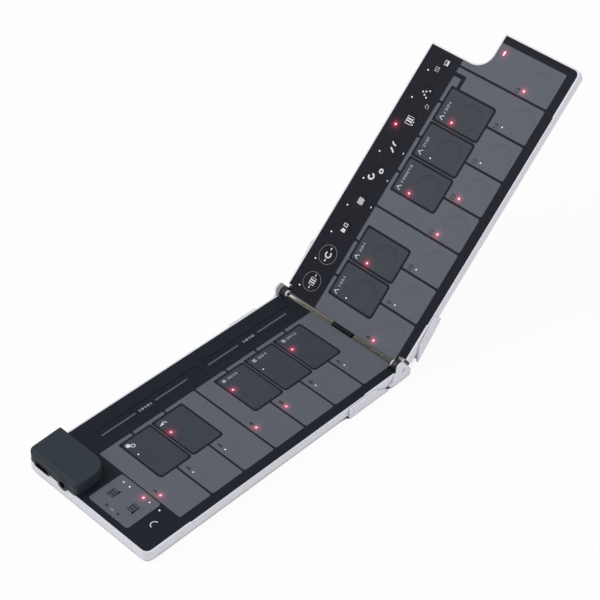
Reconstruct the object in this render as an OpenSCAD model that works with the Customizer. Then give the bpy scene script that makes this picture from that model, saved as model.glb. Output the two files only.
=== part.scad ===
// Folding pad keyboard: two flat halves joined by a two-knuckle friction hinge.
// The base lies on the table, the lid half turns about the hinge axis.
// Millimetres, Z up. X runs along the length toward the lid, Y toward the rear.
// Inside a half, d is the distance from the hinge axis, y the part's Y and
// z the height above the underside of the half.
// The origin is on the table, in the middle of the outline seen from above.

/* [Overall size] */
// distance from the hinge axis to the outer end of each half
half_length = 165.5; // [150:0.5:182]
// depth of the case from front to rear
depth = 80; // [72:0.5:88]
// thickness of one half from underside to rim
thickness = 6.3; // [6.3:0.1:7.5]
// angle of the lid above the plane of the base
lid_angle = 45; // [0:5:90]
// how far the lid flap hangs away from the lid
lid_flap_angle = 6.5; // [0:0.5:6.5]

/* [Case] */
// thickness of the side walls
wall = 1.3; // [1.2:0.1:1.4]
// thickness of the case floor
floor_thick = 1.2; // [1.1:0.1:1.3]
// width of the rim seen around the top plate
rim = 0.7; // [0.5:0.1:0.8]
// width of the front rim beside the widened part of the top plate
front_rim = 1.0; // [0.9:0.1:1.1]
// width of the front rim along the widened part of the top plate
front_rim_thin = 0.6; // [0.4:0.1:0.8]
// wall that closes each half at the hinge
hinge_wall = 0.9; // [0.8:0.1:1]
// free gap between the hinge axis and each half
hinge_gap = 0.3; // [0.3:0.05:0.4]
// corner radius of the case seen from above
corner_r = 3.6; // [2.5:0.1:5]
// rounding along the lower edges
edge_r = 2; // [1:0.1:2.2]
// height of the hinge axis above the rim
axis_rise = 0.2; // [0.2:0.05:0.3]

/* [Keys] */
// margin between the front of the case and the keys
key_margin = 5.9; // [5.6:0.1:6.6]
// margin between the last key and the outer end of the case
end_margin = 4.3; // [4:0.1:5]
// depth of the band with the controls behind the keys
control_band = 20.6; // [20.2:0.2:21.6]
// width of the groove between two keys
groove = 1.1; // [0.7:0.1:1.2]
// width of a short key
short_width = 17.4; // [16:0.1:17.5]
// strip of the long keys in front of a short key, as a share of the key depth
short_share = 0.446; // [0.43:0.002:0.47]
// strip of the long keys behind a short key
short_margin = 3.1; // [2.7:0.05:3.4]
// corner radius of the long keys
key_r = 1.0; // [0.5:0.1:1.5]
// corner radius of the short keys
short_r = 1.3; // [0.6:0.1:2]
// how far the pads stand above the top plate
pad_stand = 0.1; // [0.1:0.05:0.3]
// clearance between a pad and the top plate
pad_gap = 0.05; // [0.05:0.01:0.1]
// radius of the lamps in the pads
lamp_r = 0.5; // [0.4:0.05:0.6]

/* [Controls] */
// radius of the round function buttons
button_r = 4.9; // [4:0.1:5.2]
// distance from one function button to the next, as a share of the key pitch
button_share = 0.782; // [0.74:0.002:0.79]
// width of the touch channels
channel_width = 9; // [7:0.5:9.5]
// width of the raised lines in the touch channels
strip_width = 1.0; // [0.6:0.1:1.6]
// distance from the keys' front to the side panel
panel_front = 11.3; // [9.5:0.1:12]
// free space between the side panel and the port block
panel_gap = 3.6; // [3.2:0.1:5]

/* [Port block] */
// width of the port block along the keyboard
block_width = 19.3; // [18.2:0.1:19.3]
// length of the port block from front to rear
block_length = 33.1; // [32:0.1:33.1]
// rounding along the outer top edge of the port block
block_edge = 1.8; // [0.8:0.1:2]
// rounding along the inner top edge of the port block
block_inner_edge = 0.6; // [0.3:0.1:0.8]
// free space around the port block in the folded lid
block_clearance = 0.5; // [0.4:0.1:0.8]
// distance from the rear of the port block to the data socket, as a share of its length
usb_share = 0.293; // [0.279:0.001:0.296]
// distance from the data socket to the audio socket, as a share of the block's length
socket_share = 0.429; // [0.415:0.001:0.432]
// bore radius of the audio socket
audio_bore = 1.8; // [1.75:0.05:1.9]

/* [Hinge] */
// radius of the hinge pins
pin_r = 1.0; // [0.8:0.05:1.1]
// running clearance of the lid knuckles on the pins
pin_fit = 0.05; // [0.03:0.01:0.1]
// radius of the hinge knuckles
knuckle_r = 3; // [2.6:0.1:3.1]
// distance from the axis to the wall behind the knuckles
notch_d = 4.7; // [4.5:0.1:5]
// thickness of the hinge leaves
leaf_thick = 1; // [0.8:0.1:1]
// thickness of the hinge caps
cap_thick = 0.9; // [0.7:0.1:1.2]
// gap between the case sides and the caps and flaps
side_gap = 0.2; // [0.15:0.05:0.3]

/* [Flaps] */
// distance from the axis to the near end of the base flap
base_flap_near = 10.4; // [10.4:0.1:12]
// distance from the axis to the far end of the base flap
base_flap_far = 38; // [36:0.5:40]
// distance from the axis to the near end of the lid flap
lid_flap_near = 5.8; // [5.8:0.1:6.5]
// distance from the axis to the far end of the lid flap
lid_flap_far = 30.3; // [29:0.1:32]
// radius of the pins that carry the flaps
flap_pin_r = 0.8; // [0.6:0.05:0.9]
// thickness of the flap web under the case
flap_web = 1.2; // [1:0.05:1.2]

/* [Hidden] */
axis_z = thickness + axis_rise;
foot_stand = 0.5;
// the part's origin is the middle of its outline on the table
lid_reach = (half_length - edge_r) * cos(lid_angle) + (axis_z - edge_r) * sin(lid_angle) + edge_r;
hinge_x = (half_length - lid_reach) / 2;
half_depth = depth / 2;
key_y = -half_depth + key_margin;
key_depth = depth - key_margin - control_band;
plate_top = thickness - 0.1;
pad_top = plate_top + pad_stand;
plate_floor = thickness - 1.55;
film_floor = plate_floor - 0.3;
board_floor = film_floor - 0.8;
key_start = hinge_gap + hinge_wall;
pitch = (half_length - end_margin - key_start) / 8;
first_edge = key_start + 0.1;
short_front = short_share * key_depth;
short_depth = key_depth - short_front - short_margin;
button_pitch = button_share * pitch;
button_start = key_start + 0.535 * pitch;
button_y = key_depth + 9.2;
channel_y = key_depth + 7.5;
plate_gap = 0.05;
inner_x = hinge_gap + hinge_wall + 0.6;
cavity_end = half_length - wall;
cavity_y = half_depth - wall;
board_gap = 0.3;
white_count = [7, 8];
short_keys = [[1, 2, 3, 5, 6], [1, 2, 4, 5, 6]];
tongue = [[25.7, half_length - 26.5], [24.5, half_length - 25.5]];
last_key_end = key_start + 8 * pitch - 0.3;
block_end = half_length - 0.3;
block_start = block_end - block_width;
block_rear = depth - key_margin - 0.3;
block_front = block_rear - block_length;
usb_y = block_rear - usb_share * block_length;
audio_y = usb_y - socket_share * block_length;
panel_start = key_start + 7 * pitch + 0.2;
panel_end = key_start + 8 * pitch + 0.3;
panel_depth = block_front - panel_gap - panel_front;
notch_x = block_start - block_clearance;
notch_y = block_front - block_clearance;
block_r = 8;
block_top = 2 * axis_z;
block_wall = 1.3;
usb_z = thickness + 0.6;
audio_z = thickness + 1;
audio_nose_r = 3.3;
usb_width = 10.8;
usb_height = 3.5;
audio_face = half_length - 4.1;
usb_start = half_length - 7.9;
dish_r = 30;
recess_depth = flap_web + 0.2;
raised_floor = recess_depth + 1;
flap_pin_inset = 2.6;
flap_pin_z = 3.1;
flap_near = [base_flap_near, lid_flap_near];
flap_far = [base_flap_far, lid_flap_far];
leaf_z = raised_floor;
leaf_end = 16;
leaf_screw_d = 12.5;
// outward distances of the hinge parts from mid depth, front unit then rear unit
notch_from = [half_depth - 5.6, half_depth - 2.8];
base_knuckle = [[half_depth - 4.8, half_depth - 2.5], [half_depth - 2.5, half_depth - 1.4]];
lid_knuckle = [[half_depth - 2.4, half_depth - 0.1], [half_depth - 1.3, half_depth - 0.2]];
washer_at = [[half_depth - 6.1, half_depth - 4.9], [half_depth - 3.7, half_depth - 2.6]];
arm_side = half_depth - 1.4;
flex_from = -7.2;
flex_to = 5.4;
roll_r = 1.15;
relief_r = 1.45;
screw_r = 0.8;
front_screw_y = 3.5 - key_margin;
rear_screw_y = depth - key_margin - 4.2;
screw_spots = [
    [[44, front_screw_y], [92, front_screw_y], [half_length - 7.5, front_screw_y],
     [44, rear_screw_y], [92, rear_screw_y], [block_start - 5.4, rear_screw_y],
     [block_end - 4.7, audio_y - 5.5], [block_start + 3.5, block_rear - 3.3]],
    [[44, front_screw_y], [92, front_screw_y], [half_length - 15.5, front_screw_y],
     [44, rear_screw_y + 0.8], [92, rear_screw_y + 0.8], [notch_x - 4.9, rear_screw_y + 0.6],
     [half_length - 2.8, notch_y - 9.9]]
];
foot_spots = [
    [[5.5, 21 - half_depth], [5.5, half_depth - 21], [half_length - 13.5, 13 - half_depth],
     [half_length - 27.5, half_depth - 13]],
    [[36, 15 - half_depth], [36, half_depth - 15], [half_length - 13.5, 16 - half_depth],
     [half_length - 33.5, half_depth - 13]]
];
foot_r = 3.6;
// lamps as [distance from the axis, distance from the keys' front]
long_lamp_y = 0.29 * key_depth;
short_lamp_y = short_front + 0.64 * short_depth;
function lamp_row(keys, y) = [for (k = keys) [key_start + k * pitch, y]];
function panel_lamps(shares) =
    [for (f = shares) [panel_start + 2.8, panel_front + f * panel_depth]];
function button_lamps(list) =
    [for (k = list) [button_start - 4.8 + button_pitch * k, button_y + 5.2]];
white_lamps = [
    concat(lamp_row([5.84, 4.835, 1.835, 0.83], long_lamp_y),
        lamp_row([6.35, 2.33], short_lamp_y), panel_lamps([0.833, 0.682, 0.174]),
        [[panel_start + 2.8, panel_front - 2]]),
    concat(lamp_row([1.15, 2.155, 5.165, 6.17], long_lamp_y),
        lamp_row([0.65, 4.67], short_lamp_y), button_lamps([0, 1, 2, 3, 4, 5, 7, 8]))
];
red_lamps = [
    concat(lamp_row([6.835, 3.835, 2.84], long_lamp_y),
        lamp_row([5.345, 3.345, 1.33], short_lamp_y), panel_lamps([0.326])),
    concat(lamp_row([0.14, 3.155, 4.16, 7.175], long_lamp_y),
        lamp_row([1.655, 3.665, 5.68], short_lamp_y), button_lamps([6]))
];
white_plastic = [0.85, 0.85, 0.88];
black_plastic = [0.13, 0.14, 0.17];
grey_rubber = [0.4, 0.42, 0.46];
slate_rubber = [0.24, 0.27, 0.31];
board_green = [0.1, 0.3, 0.2];
steel = [0.7, 0.7, 0.72];
big = 400;

// ---------- small helpers ----------

function unit(v) = v / norm(v);

// the points of one rounded corner p between its neighbours a and b
function turn(a, p, b, r, n) =
    let (
        u = unit(a - p),
        v = unit(b - p),
        half = acos(u * v) / 2,
        c = p + unit(u + v) * r / sin(half),
        s = p + u * r / tan(half) - c,
        e = p + v * r / tan(half) - c,
        w = 180 - 2 * half
    )
    [for (i = [0:n]) c + (sin(w * (1 - i / n)) * s + sin(w * i / n) * e) / sin(w)];

// a polygon's points with rounded corners, one radius per corner
function soft(pts, radii, n = 4) =
    let (m = len(pts))
    [for (i = [0:m - 1])
        each (radii[i] <= 0 ? [pts[i]]
            : turn(pts[(i + m - 1) % m], pts[i], pts[(i + 1) % m], radii[i], n))];

function corners(x0, y0, x1, y1) = [[x0, y0], [x1, y0], [x1, y1], [x0, y1]];

module rounded_box(x0, y0, x1, y1, r, n = 4)
    polygon(soft(corners(x0, y0, x1, y1), [r, r, r, r], n));

module block(x0, y0, z0, x1, y1, z1)
    translate([x0, y0, z0])
        cube([x1 - x0, y1 - y0, z1 - z0]);

module slab(z0, z1)
    translate([0, 0, z0])
        linear_extrude(z1 - z0)
            children();

// a plate cut from a drawing in d and z, reaching from y0 to y1
module side_plate(y0, y1)
    translate([0, y1, 0])
        rotate([90, 0, 0])
            linear_extrude(y1 - y0)
                children();

// a round bar along Y
module bar(d, z, r, y0, y1)
    translate([d, y1, z])
        rotate([90, 0, 0])
            cylinder(r = r, h = y1 - y0, $fn = 48);

module hole(d, y, r, z0, z1)
    translate([d, y, z0])
        cylinder(r = r, h = z1 - z0, $fn = 32);

module place_base()
    translate([hinge_x, 0, foot_stand])
        mirror([1, 0, 0])
            children();

module place_lid()
    translate([hinge_x, 0, axis_z + foot_stand])
        rotate([0, -lid_angle, 0])
            translate([0, 0, -axis_z])
                children();

module place(side)
    if (side == 0)
        place_base() children();
    else
        place_lid() children();

// front unit when unit_no is 0, rear unit when it is 1, in a front-facing drawing
module at_hinge(unit_no)
    if (unit_no == 0)
        mirror([0, 1, 0]) children();
    else
        children();

// ---------- flat drawings seen from above, in d and y ----------

module plate_outline(side, grow) {
    x0 = key_start + plate_gap - grow;
    x1 = half_length - rim - plate_gap + grow;
    y0 = -half_depth + front_rim + plate_gap - grow;
    yt = -half_depth + front_rim_thin + plate_gap - grow;
    y1 = half_depth - rim - plate_gap + grow;
    t0 = tongue[side][0] - grow;
    t1 = tongue[side][1] + grow;
    r = corner_r - rim + grow;
    polygon(soft([[x0, y0], [t0, y0], [t0, yt], [t1, yt], [t1, y0], [x1, y0], [x1, y1], [x0, y1]],
        [0, 0, 0.3, 0.3, 0, r, r, 0], 6));
}

module hinge_notches()
    for (u = [0, 1])
        at_hinge(u)
            translate([-1, notch_from[u]])
                square([notch_d + 1, 20]);

// the corner of the lid that makes room for the port block
module lid_corner(grow)
    polygon(soft(corners(notch_x - grow, key_y + notch_y - grow, big, big),
        [block_r + block_clearance + grow, 0, 0, 0], 10));

module block_outline(grow)
    polygon(soft(corners(block_start - grow, key_y + block_front - grow,
        block_end + grow, key_y + block_rear + grow),
        [block_r + grow, 1.5 + grow, corner_r - 0.3 + grow, 1 + grow], 8));

module short_pads(side, grow)
    for (k = short_keys[side])
        translate([key_start + k * pitch, key_y + short_front])
            rounded_box(-short_width / 2 - grow, -grow, short_width / 2 + grow,
                short_depth + grow, short_r + grow);

module long_pads(side, grow)
    difference() {
        for (k = [0:white_count[side] - 1])
            rounded_box(
                (k == 0 ? first_edge : key_start + k * pitch + groove / 2) - grow,
                key_y - grow,
                (k == 7 ? last_key_end : key_start + (k + 1) * pitch - groove / 2) + grow,
                key_y + key_depth + grow, key_r + grow);
        short_pads(side, groove - grow);
        if (side == 1) {
            lid_corner(rim + 0.1);
            // small separate pad behind the last short key
            translate([key_start + 6.725 * pitch + grow, key_y + key_depth - 6.9 + grow])
                square([2.1 - 2 * grow, 8]);
            translate([key_start + 6.3 * pitch, key_y + key_depth - 6.9 + grow])
                square([0.425 * pitch + 2 * grow, 2.1 - 2 * grow]);
        }
    }

module panel_outline(grow)
    rounded_box(panel_start - grow, key_y + panel_front - grow,
        panel_end + grow, key_y + panel_front + panel_depth + grow, 1.5 + grow);

module channel_outlines(grow)
    for (c = [[3.385, 6.64], [0.265, 3.255]])
        rounded_box(key_start + c[0] * pitch - grow, key_y + channel_y - channel_width / 2 - grow,
            key_start + c[1] * pitch + grow, key_y + channel_y + channel_width / 2 + grow,
            2 + grow);

module channel_lines()
    for (c = [[5.505, 6.565], [3.865, 4.905], [2.16, 3.18], [0.48, 1.51]])
        rounded_box(key_start + c[0] * pitch, key_y + channel_y + 0.4 - strip_width / 2,
            key_start + c[1] * pitch, key_y + channel_y + 0.4 + strip_width / 2,
            strip_width / 2 - 0.01);

module button_circles(r)
    for (k = [0:8])
        translate([button_start + button_pitch * k, key_y + button_y])
            circle(r = r, $fn = 48);

module lamp_circles(list, r)
    for (p = list)
        translate([p[0], key_y + p[1]])
            circle(r = r, $fn = 20);

module screw_circles(side, r)
    for (p = screw_spots[side])
        translate([p[0], key_y + p[1]])
            circle(r = r, $fn = 24);

module leaf_screw_circles(r)
    for (u = [0, 1])
        at_hinge(u)
            for (w = [half_depth - 13, half_depth - 5])
                translate([leaf_screw_d, w])
                    circle(r = r, $fn = 24);

module board_outline(side)
    difference() {
        rounded_box(inner_x + board_gap, -cavity_y + board_gap, cavity_end - board_gap,
            cavity_y - board_gap, 1.5);
        for (u = [0, 1])
            at_hinge(u)
                translate([-1, notch_from[u] - hinge_wall - board_gap])
                    square([notch_d + hinge_wall + board_gap + 1, 20]);
        if (side == 1)
            lid_corner(wall + board_gap);
    }

// ---------- case trays ----------

// the outside of a half: straight edges rounded below, turned outer corners
module tray_outer() {
    side_profile = soft([[-half_depth, 0], [half_depth, 0], [half_depth, thickness],
        [-half_depth, thickness]], [edge_r, edge_r, 0, 0], 8);
    translate([hinge_gap, 0, 0])
        rotate([90, 0, 90])
            linear_extrude(half_length - corner_r - hinge_gap)
                polygon(side_profile);
    end_profile = soft([[half_length - corner_r - 1, 0], [half_length, 0],
        [half_length, thickness], [half_length - corner_r - 1, thickness]],
        [0, edge_r, 0, 0], 8);
    side_plate(-half_depth + corner_r, half_depth - corner_r)
        polygon(end_profile);
    for (s = [-1, 1])
        translate([half_length - corner_r, s * (half_depth - corner_r), 0])
            rotate_extrude($fn = 48)
                polygon(soft([[0, 0], [corner_r, 0], [corner_r, thickness], [0, thickness]],
                    [0, edge_r, 0, 0], 8));
}

// what stands inside a half: raised floor over the flap, bosses, ribs, notch walls
module tray_inside(side) {
    far = flap_far[side] - flap_pin_inset;
    block(notch_d, -half_depth, 0, far + 2, half_depth, raised_floor);
    for (u = [0, 1])
        at_hinge(u)
            block(0, notch_from[u] - hinge_wall, 0, notch_d + hinge_wall, half_depth, plate_floor);
    slab(0, board_floor)
        screw_circles(side, 2);
    for (s = [-1, 1])
        block(far + 6, s * 12 - 0.5, 0, half_length - 27.5, s * 12 + 0.5, board_floor);
    if (side == 1)
        slab(0, thickness)
            intersection() {
                lid_corner(wall);
                square([big, big]);
            }
}

module tray(side) {
    far = flap_far[side] - flap_pin_inset;
    difference() {
        tray_outer();
        difference() {
            slab(floor_thick, plate_floor + 0.1)
                rounded_box(inner_x, -cavity_y, cavity_end, cavity_y, corner_r - wall);
            tray_inside(side);
        }
        slab(plate_floor, thickness + 1)
            difference() {
                plate_outline(side, plate_gap);
                if (side == 1)
                    lid_corner(rim);
            }
        // room for the flap web
        block(flap_near[side] - 0.4, -big, -1, far + 0.7, big, recess_depth);
        slab(-1, thickness + 1)
            hinge_notches();
        // room for the washers and the flex roll
        for (u = [0, 1])
            at_hinge(u)
                bar(0, axis_z, 2.2, washer_at[u][0] - 0.2, washer_at[u][1] + 0.2);
        bar(0, axis_z, relief_r, flex_from - 0.6, flex_to + 0.6);
        block(-1, flex_from + 1, board_floor - 1.1, inner_x + 1, flex_to - 1, board_floor - 0.6);
        // slots for the hinge arms
        for (u = [0, 1])
            at_hinge(u)
                leaf_slot(side, u);
        slab(-1, thickness)
            leaf_screw_circles(0.8);
        slab(-1, recess_depth + 0.55)
            leaf_screw_circles(1.5);
        // screws, feet and flap pins
        slab(-1, plate_floor)
            screw_circles(side, screw_r + 0.1);
        slab(-1, 1.1)
            screw_circles(side, 1.9);
        slab(-1, 0.5)
            foot_circles(side);
        for (s = [0, 1])
            mirror([0, s, 0])
                bar(far, flap_pin_z, flap_pin_r, cavity_y - 0.2, half_depth + 1);
        if (side == 1)
            slab(-1, thickness + 1)
                lid_corner(0);
        if (side == 0) {
            usb_slot();
            audio_hole();
        }
    }
}

module foot_circles(side)
    for (p = foot_spots[side])
        translate([p[0], p[1]])
            circle(r = foot_r, $fn = 48);

module leaf_slot(side, u) {
    w = side == 0 ? base_knuckle[u] : lid_knuckle[u];
    w0 = side == 0 ? w[0] : min(w[0], arm_side - 1.1);
    block(notch_d - 0.5, w0 - 0.1, leaf_z, notch_d + hinge_wall + 0.5, min(w[1], arm_side) + 0.1,
        leaf_z + leaf_thick + 0.15);
}

// ---------- top plates, pads and lamps ----------

module top_plate(side)
    difference() {
        slab(plate_floor, plate_top)
            difference() {
                plate_outline(side, 0);
                hinge_notches();
                short_pads(side, pad_gap);
                long_pads(side, pad_gap);
                if (side == 1)
                    lid_corner(rim + 0.05);
                if (side == 0) {
                    panel_outline(pad_gap);
                    block_outline(-0.6);
                    translate([block_start + block_r, key_y + block_front + 2])
                        square([big, big]);
                }
                lamp_circles(concat(white_lamps[side], red_lamps[side]), lamp_r + 0.02);
            }
        bar(0, axis_z, relief_r, flex_from - 0.6, flex_to + 0.6);
        for (u = [0, 1])
            at_hinge(u)
                bar(0, axis_z, 2.2, washer_at[u][0] - 0.2, washer_at[u][1] + 0.2);
        slab(plate_floor - 1, plate_floor + 1.1)
            screw_circles(side, screw_r + 0.02);
        if (side == 0)
            slab(plate_top - 0.5, plate_top + 1)
                channel_outlines(0.1);
        else
            slab(plate_floor - 1, plate_top + 1)
                button_circles(button_r + 0.1);
    }

module long_pad_solids(side)
    slab(plate_floor, pad_top)
        difference() {
            long_pads(side, 0);
            lamp_circles(concat(white_lamps[side], red_lamps[side]), lamp_r + 0.02);
            if (side == 1)
                dash_light(0.02);
        }

module short_pad_solids(side)
    slab(plate_floor, pad_top)
        difference() {
            short_pads(side, 0);
            lamp_circles(concat(white_lamps[side], red_lamps[side]), lamp_r + 0.02);
        }

// light bar near the rear of the last long key
module dash_light(grow)
    translate([half_length - 8.9, key_y + notch_y - 4.8])
        square([2.6 + 2 * grow, 0.8 + 2 * grow], center = true);

module lamps(side, list)
    slab(film_floor, pad_top)
        lamp_circles(list[side], lamp_r);

module sensor_film(side)
    slab(film_floor, plate_floor)
        difference() {
            board_outline(side);
            lamp_circles(concat(white_lamps[side], red_lamps[side]), lamp_r + 0.1);
            screw_circles(side, screw_r + 0.3);
            if (side == 0)
                block_outline(0.2);
            else
                dash_light(0.1);
        }

module circuit_board(side)
    slab(board_floor, film_floor)
        difference() {
            board_outline(side);
            screw_circles(side, screw_r + 0.2);
            if (side == 0)
                translate([audio_face - 0.3, key_y + audio_y - audio_nose_r - 0.3])
                    square([20, 2 * audio_nose_r + 0.6]);
        }

module chips(list)
    for (c = list)
        block(c[0] - c[2] / 2, c[1] - c[3] / 2, board_floor - 0.9, c[0] + c[2] / 2,
            c[1] + c[3] / 2, board_floor);

// ---------- port block ----------

module usb_slot()
    translate([half_length - 4, key_y + usb_y, usb_z])
        rotate([0, 90, 0])
            linear_extrude(10)
                stadium(usb_width + 0.2, usb_height + 0.2);

module stadium(w, h) {
    square([h, w - h], center = true);
    for (s = [-1, 1])
        translate([0, s * (w - h) / 2])
            circle(r = h / 2, $fn = 32);
}

module audio_hole()
    translate([half_length - 4, key_y + audio_y, audio_z])
        rotate([0, 90, 0])
            cylinder(r = audio_nose_r + 0.1, h = 10, $fn = 48);

module port_block_solid() {
    // corners as [d, y, way in along d, way in along y, radius, top rounding]
    spots = [
        [block_start, key_y + block_front, 1, 1, block_r, block_inner_edge],
        [block_end, key_y + block_front, -1, 1, 2, block_edge],
        [block_end, key_y + block_rear, -1, -1, corner_r - 0.3, block_edge],
        [block_start, key_y + block_rear, 1, -1, 0.8, block_inner_edge]
    ];
    hull()
        for (s = spots)
            translate([s[0] + s[2] * s[4], s[1] + s[3] * s[4], 0]) {
                translate([0, 0, block_top - s[5]])
                    rotate_extrude($fn = 64)
                        translate([s[4] - s[5], 0])
                            intersection() {
                                circle(r = s[5], $fn = 32);
                                square(10);
                            }
                translate([0, 0, thickness])
                    cylinder(r = s[4], h = 0.5, $fn = 64);
            }
}

module port_block_local()
    difference() {
        union() {
            port_block_solid();
            slab(plate_floor, thickness + 0.2)
                intersection() {
                    block_outline(-0.7);
                    plate_outline(0, -0.1);
                }
            slab(film_floor, plate_floor + 0.1)
                block_outline(-1.1);
        }
        difference() {
            slab(film_floor - 1, block_top - block_wall)
                block_outline(-block_wall - 0.7);
            for (p = [screw_spots[0][6], screw_spots[0][7]])
                hole(p[0], key_y + p[1], 1.9, film_floor, block_top);
        }
        slab(film_floor - 1, plate_floor + 1.1)
            screw_circles(0, screw_r + 0.02);
        usb_slot();
        audio_hole();
    }

module usb_local() {
    x0 = usb_start;
    x1 = half_length - 0.1;
    y0 = key_y + usb_y;
    difference() {
        translate([x0, y0, usb_z])
            rotate([0, 90, 0])
                linear_extrude(x1 - x0)
                    stadium(usb_width, usb_height);
        translate([x0 + 1, y0, usb_z])
            rotate([0, 90, 0])
                linear_extrude(20)
                    stadium(8.8, 2.7);
    }
    block(x0, y0 - 3.4, usb_z - 0.35, x1 - 1, y0 + 3.4, usb_z + 0.35);
    for (s = [-1, 1])
        translate([x0 + 0.8, y0 + s * usb_width / 2 - 0.9, film_floor])
            cube([3.6, 1.8, usb_z - film_floor]);
}

module audio_local() {
    y0 = key_y + audio_y;
    difference() {
        union() {
            block(half_length - 14.5, y0 - 3, film_floor, audio_face, y0 + 3, audio_z + 2.7);
            translate([audio_face - 0.1, y0, audio_z])
                rotate([0, 90, 0])
                    cylinder(r = audio_nose_r, h = half_length - audio_face, $fn = 48);
        }
        translate([half_length - 13.5, y0, audio_z])
            rotate([0, 90, 0])
                cylinder(r = audio_bore, h = 20, $fn = 32);
    }
}

// ---------- hinge ----------

// arm and leaf of one hinge unit, drawn at the rear and mirrored for the front
module hinge_leaf(w, w_arm, bore) {
    difference() {
        union() {
            bar(0, axis_z, knuckle_r, w[0], w[1]);
            side_plate(w[0], w[1])
                polygon([[0.4, axis_z - knuckle_r + 0.2], [2.6, axis_z - 2.2],
                    [4.3, leaf_z + 1.6], [4.3, leaf_z], [2.6, leaf_z]]);
            side_plate(w_arm[0], w[1])
                polygon([[3.3, leaf_z], [4.3, leaf_z], [4.3, leaf_z + 1.6], [3.3, leaf_z + 1.6]]);
            // the inner part of the arm carries on into the case
            side_plate(w_arm[0], w_arm[1])
                polygon([[3.3, leaf_z], [6, leaf_z], [6, leaf_z + leaf_thick],
                    [4.4, leaf_z + leaf_thick], [4.3, leaf_z + 1.6], [3.3, leaf_z + 1.6]]);
            block(notch_d + hinge_wall + 0.1, half_depth - 16, leaf_z, leaf_end,
                max(arm_side, w_arm[1]) - 0.1, leaf_z + leaf_thick);
        }
        bar(0, axis_z, bore, w[0] - 1, w[1] + 1);
        hole(leaf_screw_d, half_depth - 13, 0.72, leaf_z - 1, leaf_z + 3);
        hole(leaf_screw_d, half_depth - 5, 0.72, leaf_z - 1, leaf_z + 3);
    }
}

module base_leaves_local()
    for (u = [0, 1])
        at_hinge(u)
            hinge_leaf(base_knuckle[u], [base_knuckle[u][0], min(base_knuckle[u][1], arm_side)],
                pin_r);

module lid_leaves_local()
    for (u = [0, 1])
        at_hinge(u)
            hinge_leaf(lid_knuckle[u], [min(lid_knuckle[u][0], arm_side - 1.1), arm_side],
                pin_r + pin_fit);

module washers_local()
    for (u = [0, 1])
        at_hinge(u)
            difference() {
                bar(0, axis_z, 1.9, washer_at[u][0], washer_at[u][1]);
                bar(0, axis_z, pin_r, washer_at[u][0] - 1, washer_at[u][1] + 1);
            }

module hinge_pin_local(u)
    at_hinge(u)
        bar(0, axis_z, pin_r, washer_at[u][0], half_depth + side_gap + cap_thick - 0.1);

// white cap beside each hinge unit, fixed to the side of the base
module hinge_cap_local(u)
    at_hinge(u) {
        w0 = half_depth + side_gap;
        w1 = w0 + cap_thick;
        difference() {
            union() {
                bar(2.1, thickness + 3.2, 2.8, w0, w1);
                side_plate(w0, w1)
                    translate([0, thickness])
                        polygon([[4.9, 3.2], [4.9, 1.0], [7.7, -3.3], [10.2, -3.9], [9.0, -5.2],
                            [7.0, -6.2], [-5.0, -6.2], [-5.4, -5.8], [-5.4, -1.94], [-0.11, 4.91]]);
                side_plate(w0 - side_gap, w0)
                    translate([0, thickness])
                        polygon([[5.6, -0.8], [7.7, -3.6], [9.6, -4.0], [7.0, -4.2], [5.6, -3.6]]);
            }
            bar(0, axis_z, pin_r, w0 - 1, w1 + 1);
        }
    }

module leaf_screws_local()
    for (u = [0, 1])
        at_hinge(u)
            for (w = [half_depth - 13, half_depth - 5])
                screw(leaf_screw_d, w, recess_depth + 0.05, 0.5, 1.3, 0.7, leaf_z + leaf_thick);

// a screw seen from below: flat head with a cross, then the shank
module screw(d, y, z0, head_h, head_r, shank_r, z1)
    difference() {
        union() {
            hole(d, y, head_r, z0, z0 + head_h);
            hole(d, y, shank_r, z0, z1);
        }
        for (a = [0, 90])
            translate([d, y, z0])
                rotate(a)
                    cube([head_r * 1.2, 0.4, head_h], center = true);
    }

module case_screws_local(side)
    for (p = screw_spots[side])
        screw(p[0], key_y + p[1], 0.3, 0.8, 1.7, screw_r, plate_floor + 1);

module feet_local(side)
    slab(-foot_stand, 0.5)
        for (p = foot_spots[side])
            translate([p[0], p[1]])
                circle(r = foot_r - 0.05, $fn = 48);

// ---------- flex cable ----------

module flex_local() {
    y0 = flex_from + 1.2;
    y1 = flex_to - 1.2;
    bar(0, axis_z, roll_r, flex_from, flex_to);
    block(0.05, y0, board_floor - 0.95, 0.25, y1, axis_z - roll_r + 0.4);
    block(0.05, y0, board_floor - 0.95, 6, y1, board_floor - 0.75);
}

module lid_tail_local() {
    y0 = flex_from + 1.2;
    y1 = flex_to - 1.2;
    block(0.05, y0, board_floor - 0.95, 0.25, y1, axis_z - roll_r - 0.15);
    block(0.05, y0, board_floor - 0.95, 6, y1, board_floor - 0.75);
}

module flex_connector_local()
    difference() {
        block(5, flex_from - 0.3, board_floor - 1.1, 9.2, flex_to + 0.3, board_floor);
        block(4, flex_from + 1.2, board_floor - 0.95, 6, flex_to - 1.2, board_floor - 0.75);
    }

// ---------- flaps ----------

module flap_local(side) {
    near = flap_near[side];
    far = flap_far[side];
    pin_d = far - flap_pin_inset;
    w0 = half_depth + side_gap;
    w1 = w0 + cap_thick;
    kink = near + (side == 0 ? 9.4 : 8.2);
    difference() {
        union() {
            for (s = [0, 1])
                mirror([0, s, 0])
                    side_plate(w0, w1)
                        polygon(soft([[near, 0], [far, 0], [far, thickness - 0.2],
                            [kink, thickness - 0.3], [near, 0.6]], [0, 1, 1.5, 1.5, 0.2], 5));
            block(near + 1, -w1 + 0.2, 0, pin_d, w1 - 0.2, flap_web);
        }
        for (s = [0, 1])
            mirror([0, s, 0])
                bar(pin_d, flap_pin_z, flap_pin_r + pin_fit, w0 - 1, w1 + 1);
    }
}

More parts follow.
